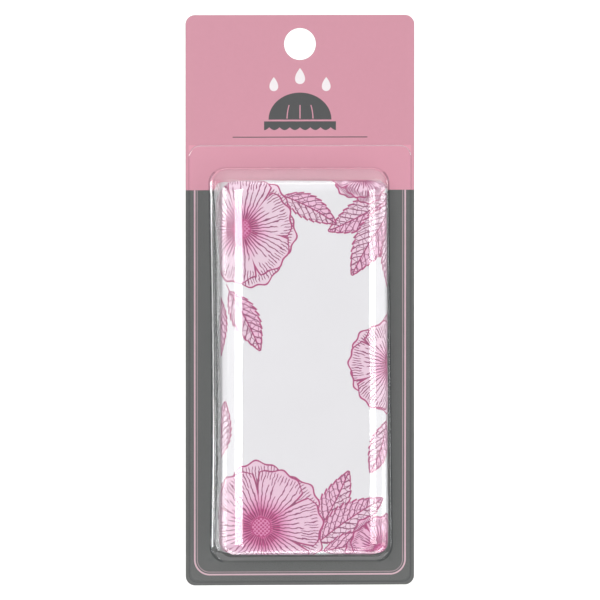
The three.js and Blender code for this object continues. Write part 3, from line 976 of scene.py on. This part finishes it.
def build_outer():
    rng = np.random.default_rng(5)
    nx, nz, nc = 44, 96, 10
    gx = CAP_X - CAP_TURN
    z0, z1 = CAP_BOTTOM + CAP_TURN, CAP_TOP - CAP_TURN
    crease = waves(21, 9, 9, 26)
    swell = waves(22, 7, 26, 80)
    pts, uv = [], []
    for k in range(nz + 1):
        for i in range(nx + 1):
            x, z = -gx + 2 * gx * i / nx, z0 + (z1 - z0) * k / nz
            pts.append((x, CAP_FRONT, z))
            uv.append((x, z))
    faces = grid_faces(nx, nz)
    edge = grid_edge(nx, nz, nc)
    border = np.array([(pts[i][0], pts[i][2]) for i in edge])
    _, way = ring_points(-1, 1, -1, 1, 0.5, 0.5, nx, nz, nc)
    along = np.concatenate([[0], np.cumsum(np.linalg.norm(np.diff(border + way * 3, axis=0), axis=1))])
    # rounded edge, then a skirt that reaches the card on the long sides and stops short of it at the ends
    sides = smooth(0.35, 0.95, np.abs(way[:, 0]))
    down = (z1 - border[:, 1]) / (z1 - z0)
    wide = np.where(way[:, 0] > 0, 1.1, 0.0) * sides
    flare = np.where(way[:, 0] < 0, 1.5 - 1.3 * np.sin(math.pi * np.clip(down, 0, 1)), 1.5) * sides
    low = 11.3 * (1 - sides) + 2.2 * sides
    one = np.ones(len(border))
    prof = []
    for i in range(1, 11):
        a = math.pi / 2 * i / 10
        prof.append(((CAP_TURN + wide) * math.sin(a), (CAP_FRONT - CAP_TURN * (1 - math.cos(a))) * one, CAP_TURN * a * one))
    top, g_top = CAP_FRONT - CAP_TURN, CAP_TURN * math.pi / 2
    for i in range(1, 15):
        t = i / 14
        d = top + (low - top) * t
        prof.append((CAP_TURN + wide + (flare - wide) * t, d, g_top + top - d))
    r_end, g_end = prof[-1][0], prof[-1][2]
    under = 0.9
    for i in range(1, 6):
        a = math.pi / 2 * i / 5
        prof.append((r_end - under * (1 - math.cos(a)), low - under * math.sin(a), g_end + under * a))
    g_end = prof[-1][2]
    for i in range(1, 3):
        prof.append((r_end - under - 1.2 * i, low - under, g_end + 1.2 * i))
    for r, d, g in prof:
        ids = list(range(len(pts), len(pts) + len(border)))
        drop = smooth(CAP_FRONT - 2.5, CAP_FRONT - 9, d)
        pull = (0.30 * crease(along, d * 0.6) + 0.22 * swell(along, d)) * drop - np.where(way[:, 0] > 0.5, -0.2, 0.25) * drop
        p = border + way * (r + pull)[:, None]
        pts += [(a, dd, c) for (a, c), dd in zip(p, d)]
        uv += [tuple(q) for q in border + way * g[:, None]]
        faces += join_rings(edge, ids)
        edge = ids
    # pleats behind the front, from the turned-under edge of each long side up towards the front panel
    per = [nx + 1, nc - 1, nz + 1, nc - 1, nx + 1, nc - 1, nz + 1, nc - 1]
    at = np.cumsum([0] + per)
    for sign, first, last in ((1, at[2], at[3]), (-1, at[6], at[7])):
        col = edge[first:last]
        here = np.array([pts[i] for i in col])
        g0 = prof[-1][2][first:last]
        d0 = float(here[:, 1].mean())
        x0 = 28.4
        line, mark = fold_line((x0, d0), 12, lambda d: 13.4, lambda d: 31.4 - 0.02 * (d - 5.0) ** 2, 0.70, rng, 12.7)
        end = line[-1]
        tail = [(end[0] - 0.8 * math.sin(math.pi / 2 * i / 5), end[1] - 0.8 * (1 - math.cos(math.pi / 2 * i / 5))) for i in range(1, 6)]
        tail += [(11.9, end[1] - 0.8 + (3.5 - end[1] + 0.8) * i / 3) for i in range(1, 4)]
        line = np.vstack([[(x0, d0)], line, tail])
        mark = np.concatenate([[1.0], mark, np.zeros(len(tail))])
        sway = waves(int(30 + sign), 6, 30, 110)
        prev, before, g = col, np.array([x0, d0]), g0 + np.abs(np.abs(here[:, 0]) - x0)
        mid = (z0 + z1) / 2
        for n, ((x, d), mk) in enumerate(zip(line, mark)):
            g = g + float(np.hypot(x - before[0], d - before[1]))
            before = np.array([x, d])
            ease = float(smooth(0, 6, n))
            zz = mid + (here[:, 2] - mid) * (1 + 0.026 * ease)
            wob = 0.6 * sway(here[:, 2], d * 5.0) * smooth(0.3, 1.0, mk) * ease
            ids = list(range(len(pts), len(pts) + len(col)))
            pts += [(sign * (x + w), d, z) for w, z in zip(wob, zz)]
            uv += [(sign * (gx + q), z) for q, z in zip(g, here[:, 2])]
            for i in range(len(col) - 1):
                faces.append((prev[i], ids[i], ids[i + 1], prev[i + 1]))
            prev = ids
    pts, uv = np.array(pts), np.array(uv)
    pts[:, 1] += settle(pts[:, 0], pts[:, 1], pts[:, 2])
    world = inside_film(np.stack([pts[:, 0], -(CARD_T + pts[:, 1]), pts[:, 2]], 1), 0.2)
    solid, all_faces, side = thicken(world, faces, 0.07, 0.07)
    ob = make(
        "cap_cloth",
        solid,
        all_faces,
        [printed_cloth(), plain_cloth("cloth_inside", CLOTH, 0.6, 0.42)],
        [1 if s == 1 else 0 for s in side],
        {"Flat": np.vstack([uv, uv])},
    )
    bake_map(ob, np.vstack([uv, uv]), side)
    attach(ob, "cap")
    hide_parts("cap_outer_ply")
    return ob


SWELL = waves(3, 8, 24, 90)


def inside_film(points, gap):
    """Points moved, where they have to be, to stay clear of the film's inner side by gap."""
    out = np.array(points)
    for i, p in enumerate(points):
        at, n, _, dist = WITHIN.find_nearest(Vector(p), 6.0)
        if at is not None:
            away = (Vector(p) - at).dot(n)
            if away < gap:
                out[i] = at + n * gap
    return out


def settle(x, d, z):
    """How the folded layers lie unevenly, the same for all of them at one place."""
    return 0.26 * SWELL(x, z) * smooth(2, 19, d)


def build_lining():
    rng = np.random.default_rng(9)
    nz = 40
    z0, z1 = CAP_BOTTOM + 4.6, CAP_TOP - 4.6
    half = lambda d: 29.2 - 0.05 * (d - 14.0) ** 2
    # the right half, from the middle of the top layer outwards and down
    pts, x, d, step = [(0.0, 19.6)], 0.0, 19.6, 0.68
    r = step / 2
    outward = True
    for layer in range(12):
        if outward:
            x1 = half(d) + rng.uniform(-0.9, 0.2)
        elif layer == 11:
            x1 = 7.4
        else:
            x1 = 2.6 + rng.uniform(-0.4, 1.0)
        n = max(2, int(abs(x1 - x) / 5))
        for i in range(1, n + 1):
            pts.append((x + (x1 - x) * i / n, d))
        x = x1
        if layer == 11:
            break
        for i in range(1, 7):
            a = math.pi * i / 6
            s = 1 if outward else -1
            pts.append((x + s * r * math.sin(a), d - r * (1 - math.cos(a))))
        d -= step
        outward = not outward
    for i in range(1, 6):
        a = math.pi / 2 * i / 5
        pts.append((7.4 - 1.2 * math.sin(a), d - 1.2 * (1 - math.cos(a))))
    bottom = 3.5
    for i in range(1, 4):
        pts.append((6.2, d - 1.2 + (bottom - d + 1.2) * i / 3))
    right = np.array(pts)
    path = np.vstack([right[:0:-1] * [-1, 1], right])
    zs = np.linspace(z0, z1, nz + 1)
    sway = waves(41, 6, 30, 100)
    verts = []
    for x, d in path:
        wob = 0.5 * sway(zs, d * 6.0) * smooth(18, 29, abs(x)) * np.sign(x)
        end = 0.8 * sway(d * 9.0, 3.0)
        for w, z in zip(wob, zs):
            zz = z + end * smooth(0.8, 1.0, abs(2 * (z - z0) / (z1 - z0) - 1)) * (1 if z > -128 else -1) * 0.6
            verts.append((x + w, d, zz))
    v = np.array(verts)
    v[:, 1] += settle(v[:, 0], v[:, 1], v[:, 2])
    world = np.stack([v[:, 0], -(CARD_T + v[:, 1]), v[:, 2]], 1)
    w = nz + 1
    faces = [(a * w + k, a * w + k + 1, (a + 1) * w + k + 1, (a + 1) * w + k) for a in range(len(path) - 1) for k in range(nz)]
    solid, all_faces, _ = thicken(world, faces, 0.06, 0.06)
    ob = make("cap_lining_film", solid, all_faces, [plain_cloth("lining_film", dim(srgb(240, 240, 238), EXPOSE), 0.34, 0.9)])
    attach(ob, "cap")
    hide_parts("cap_lining")
    return ob


# ---------------------------------------------------------------- hem
HEM_TOP, HEM_BOTTOM, HEM_P = -66.0, -188.0, 3.2


def hem_line(step):
    h = HEM_P
    pts = []

    def run(a, b):
        n = max(2, int(math.hypot(b[0] - a[0], b[1] - a[1]) / step))
        pts.extend((a[0] + (b[0] - a[0]) * i / n, a[1] + (b[1] - a[1]) * i / n) for i in range(n))

    def turn(cx, cz, r, a0, a1):
        n = max(8, int(r * math.radians(abs(a1 - a0)) / step))
        pts.extend(
            (cx + r * math.cos(math.radians(a0 + (a1 - a0) * i / n)), cz + r * math.sin(math.radians(a0 + (a1 - a0) * i / n))) for i in range(n)
        )

    run((3 * h, HEM_BOTTOM), (3 * h, HEM_TOP))
    turn(2 * h, HEM_TOP, h, 0, 180)
    run((h, HEM_TOP), (h, HEM_BOTTOM))
    turn(0, HEM_BOTTOM, h, 0, -180)
    run((-h, HEM_BOTTOM), (-h, HEM_TOP))
    turn(-2 * h, HEM_TOP, h, 0, 180)
    run((-3 * h, HEM_TOP), (-3 * h, HEM_BOTTOM))
    turn(0, HEM_BOTTOM, 3 * h, 180, 360)
    return np.array(pts)


def build_hem():
    line = hem_line(0.55)
    n = len(line)
    tan = np.roll(line, -1, 0) - np.roll(line, 1, 0)
    tan /= np.linalg.norm(tan, axis=1)[:, None]
    nor = np.stack([tan[:, 1], -tan[:, 0]], 1)  # to the right of the way round
    s = np.concatenate([[0], np.cumsum(np.linalg.norm(np.diff(line, axis=0), axis=1))])
    total = s[-1] + float(np.linalg.norm(line[0] - line[-1]))
    rng = np.random.default_rng(77)
    ph = rng.uniform(0, 2 * math.pi, 12)
    cyc = [round(total / w) for w in (2.3, 3.1, 4.7, 7.9, 13.0, 23.0)]
    gather = sum(a * np.sin(2 * math.pi * c * s / total + p) for a, c, p in zip((1, 0.8, 0.6, 0.4, 0.3, 0.3), cyc, ph)) / 2.0
    wander = sum(np.sin(2 * math.pi * c * s / total + p) for c, p in zip((17, 29, 41), ph[6:9])) / 3.0
    around, verts = 18, []
    mid = 2.05
    for i in range(n):
        for k in range(around):
            a = 2 * math.pi * k / around
            ca, sa = math.cos(a), math.sin(a)
            w = 1.95 * np.sign(ca) * abs(ca) ** 0.75
            hgt = 0.92 * np.sign(sa) * abs(sa) ** 0.8
            puff = 1 + 0.10 * gather[i] * (1 + 0.5 * math.sin(2 * a + gather[i]))
            off = w * puff + 0.12 * wander[i]
            dep = mid + hgt * (1 + 0.16 * gather[i] * math.cos(a * 1.5))
            verts.append((line[i, 0] + nor[i, 0] * off, -(CARD_T + dep), line[i, 1] + nor[i, 1] * off))
    faces = [
        (i * around + k, ((i + 1) % n) * around + k, ((i + 1) % n) * around + (k + 1) % around, i * around + (k + 1) % around)
        for i in range(n)
        for k in range(around)
    ]
    casing = make("hem_tube", verts, faces, [plain_cloth("hem_cloth", dim(srgb(233, 229, 234), EXPOSE), 0.6, 0.42)])
    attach(casing, "cap")
    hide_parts("hem_casing")
    # stitches: short thread bows lying on the casing, towards the card
    sv, sf = [], []
    pitch, seg, ar = 3.1, 7, 6
    count = int(total / pitch)
    at = lambda q: np.array([np.interp(q % total, np.append(s, total), np.append(line[:, j], line[0, j])) for j in (0, 1)])
    for c in range(count):
        a0, a1 = c * pitch + 0.25, c * pitch + 2.65
        centre = []
        for j in range(seg + 1):
            q = a0 + (a1 - a0) * j / seg
            p, p2 = at(q), at(q + 0.05)
            tt = (p2 - p) / np.linalg.norm(p2 - p)
            nn = np.array([tt[1], -tt[0]])
            lift = math.sin(math.pi * j / seg)
            o = p + nn * 1.25
            centre.append((o[0], 0.98 - 0.22 * lift, o[1], tt, 0.17 * (0.45 + 0.55 * math.sin(math.pi * (0.06 + 0.88 * j / seg)))))
        base = len(sv)
        for x, d, z, tt, rad in centre:
            nn = np.array([tt[1], -tt[0]])
            for k in range(ar):
                a = 2 * math.pi * k / ar
                sv.append((x + nn[0] * rad * math.cos(a), -(CARD_T + d + rad * math.sin(a)), z + nn[1] * rad * math.cos(a)))
        for j in range(seg):
            for k in range(ar):
                a, b_ = base + j * ar, base + (j + 1) * ar
                sf.append((a + k, b_ + k, b_ + (k + 1) % ar, a + (k + 1) % ar))
        sf.append(tuple(base + k for k in range(ar)))
        sf.append(tuple(base + seg * ar + k for k in reversed(range(ar))))
    thread = make("hem_thread", sv, sf, [plain_cloth("thread", dim(srgb(216, 150, 180), EXPOSE), 0.55, 0.3)])
    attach(thread, "cap")
    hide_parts("hem_stitching")
    # elastic: the CAD band inside the casing
    m, t, b = material("covered_elastic", Roughness=0.75)
    vec, x, y, z = object_mm(t)
    ribs = ((z * (2 * math.pi / 0.7)).sin() * 0.5 + (x * (2 * math.pi / 0.35)).sin() * 0.5) * 0.5 + 0.5
    # painted shade: the colour is darker in the grooves between the ribs and lighter on their crests, following the
    # ribs of the bump
    col = mix_colour(t, ribs, dim(srgb(214, 212, 204), EXPOSE), dim(srgb(246, 245, 240), EXPOSE))
    t.links.new(col, b.inputs["Base Color"])
    bump(t, b, ribs, 0.5, 0.0002)
    band = NODES["hem_elastic"]
    band.data.materials.clear()
    band.data.materials.append(m)
    return casing, thread, band


# ---------------------------------------------------------------- scene
card = build_card()
blister = build_blister()
cloth = build_outer()
lining = build_lining()
casing, thread, band = build_hem()

# floor, well below the hanging pack
FLOOR_Z = -0.34
floor_me = bpy.data.meshes.new("floor")
floor_me.from_pydata([(-30, -30, FLOOR_Z), (30, -30, FLOOR_Z), (30, 30, FLOOR_Z), (-30, 30, FLOOR_Z)], [], [(0, 1, 2, 3)])
floor = bpy.data.objects.new("floor", floor_me)
SCENE.collection.objects.link(floor)
fm, ft, fb = material("pale_floor", Roughness=0.9)
fb.inputs["Base Color"].default_value = (0.9, 0.9, 0.905, 1)
fb.inputs["Specular IOR Level"].default_value = 0.1
floor_me.materials.append(fm)
floor.visible_diffuse = floor.visible_glossy = False  # the light comes from in front, not up from the floor

world = bpy.data.worlds.new("studio")
SCENE.world = world
world.use_nodes = True
wt = world.node_tree
bg = next(n for n in wt.nodes if n.type == "BACKGROUND")
bg.inputs["Color"].default_value = (1.0, 1.0, 1.0, 1)
bg.inputs["Strength"].default_value = 0.36
bg2 = wt.nodes.new("ShaderNodeBackground")
bg2.inputs["Color"].default_value = (1.0, 1.0, 1.0, 1)
bg2.inputs["Strength"].default_value = 1.02
lp = wt.nodes.new("ShaderNodeLightPath")
wm = wt.nodes.new("ShaderNodeMixShader")
wo = next(n for n in wt.nodes if n.type == "OUTPUT_WORLD")
wt.links.new(lp.outputs["Is Camera Ray"], wm.inputs[0])  # white where it is seen, dimmer as light
# in reflections, a room that brightens overhead and to the sides
bg3 = wt.nodes.new("ShaderNodeBackground")
bg3.inputs["Color"].default_value = (1.0, 1.0, 1.0, 1)
way_out = wt.nodes.new("ShaderNodeTexCoord")
part = wt.nodes.new("ShaderNodeSeparateXYZ")
wt.links.new(way_out.outputs["Generated"], part.inputs[0])
room = Num(wt, part.outputs[2]).step(0.15, 0.8) * 1.5 + abs(Num(wt, part.outputs[0])).step(0.55, 0.95) * 0.5 + 0.36
wt.links.new(room.socket, bg3.inputs["Strength"])
wg = wt.nodes.new("ShaderNodeMixShader")
wt.links.new(lp.outputs["Is Glossy Ray"], wg.inputs[0])
wt.links.new(bg.outputs[0], wg.inputs[1])
wt.links.new(bg3.outputs[0], wg.inputs[2])
wt.links.new(wg.outputs[0], wm.inputs[1])
wt.links.new(bg2.outputs[0], wm.inputs[2])
wt.links.new(wm.outputs[0], wo.inputs["Surface"])


def towards(azimuth, elevation):
    a, e = math.radians(azimuth), math.radians(elevation)
    return Vector((math.sin(a) * math.cos(e), -math.cos(a) * math.cos(e), math.sin(e)))


def sun(name, azimuth, elevation, strength, angle):
    light = bpy.data.lights.new(name, "SUN")
    light.energy, light.angle = strength, math.radians(angle)
    ob = bpy.data.objects.new(name, light)
    ob.rotation_mode = "QUATERNION"
    ob.rotation_quaternion = (-towards(azimuth, elevation)).to_track_quat("-Z", "Y")
    SCENE.collection.objects.link(ob)
    ob.visible_glossy = False
    return ob


sun("key", -7, 6, 2.52, 26)
sun("fill", 18, -14, 0.62, 60)
sun("side", 78, 4, 0.6, 50)
sun("top", 180, 85, 1.9, 14)
sun("rim", 172, 32, 1.7, 60)


def softbox(name, azimuth, elevation, distance, width, height, radiance, aim):
    """A flat panel that shows in reflections only."""
    light = bpy.data.lights.new(name, "AREA")
    light.shape, light.size, light.size_y = "RECTANGLE", width, height
    light.energy = radiance * math.pi * width * height
    ob = bpy.data.objects.new(name, light)
    ob.rotation_mode = "QUATERNION"
    way = towards(azimuth, elevation)
    ob.location = aim + way * distance
    ob.rotation_quaternion = (-way).to_track_quat("-Z", "Y")
    SCENE.collection.objects.link(ob)
    ob.visible_diffuse = False
    ob.visible_camera = False
    return ob


AIM = Vector((0, -0.012, -0.1285))
def panel(name, side, near, far, low, high, radiance):
    """A panel 1 m away between two angles from straight ahead, on the left (-1) or right (1)."""
    mid = side * (near + far) / 2
    softbox(name, mid, (low + high) / 2, 1.0, 2 * math.tan(math.radians((far - near) / 2)), 2 * math.tan(math.radians((high - low) / 2)), radiance, AIM)


panel("front_left", -1, 12.5, 36, -17, 13, 13.0)
panel("front_right", 1, 27, 47, -17, 13, 9.0)
panel("side_left_high", -1, 72, 104, 0.2, 18, 8.5)
panel("side_left", -1, 72, 104, -4.2, 0.2, 1.0)
panel("side_left_low", -1, 72, 104, -18, -4.2, 7.0)
panel("side_right_high", 1, 74, 103, 1.0, 18, 5.5)
panel("side_right", 1, 74, 103, -4.8, 1.0, 1.6)
panel("side_right_low", 1, 74, 103, -18, -4.8, 5.0)
panel("above", 1, -14, 14, 52, 80, 2.5)
panel("low_right", 1, 8, 38, -36, -19, 4.0)
panel("left_glow", -1, 37, 71, -16, 12, 2.2)
panel("right_glow", 1, 48, 73, -16, 12, 1.3)
low = softbox("below", 0, -90, 0.1285, 0.34, 0.036, 9.0, Vector((0, -0.028, -0.1285)))
low.rotation_quaternion = Vector((0, 0, 1)).to_track_quat("-Z", "Y")

# camera: a long lens, a little to the left of the pack's front and a little above it
cam_data = bpy.data.cameras.new("camera")
cam = bpy.data.objects.new("camera", cam_data)
SCENE.collection.objects.link(cam)
SCENE.camera = cam
DIST = 5.0
cam_data.sensor_width = 36.0
cam_data.lens = 36.0 * DIST / 0.240
cam_data.clip_start, cam_data.clip_end = 0.01, 200
way = towards(-4.2, 2.6)
cam.rotation_mode = "QUATERNION"
cam.location = Vector((0.0, -0.0006, -0.1024)) + way * DIST
cam.rotation_quaternion = (-way).to_track_quat("-Z", "Y")

SCENE.view_settings.view_transform = "Standard"
SCENE.view_settings.look = "None"
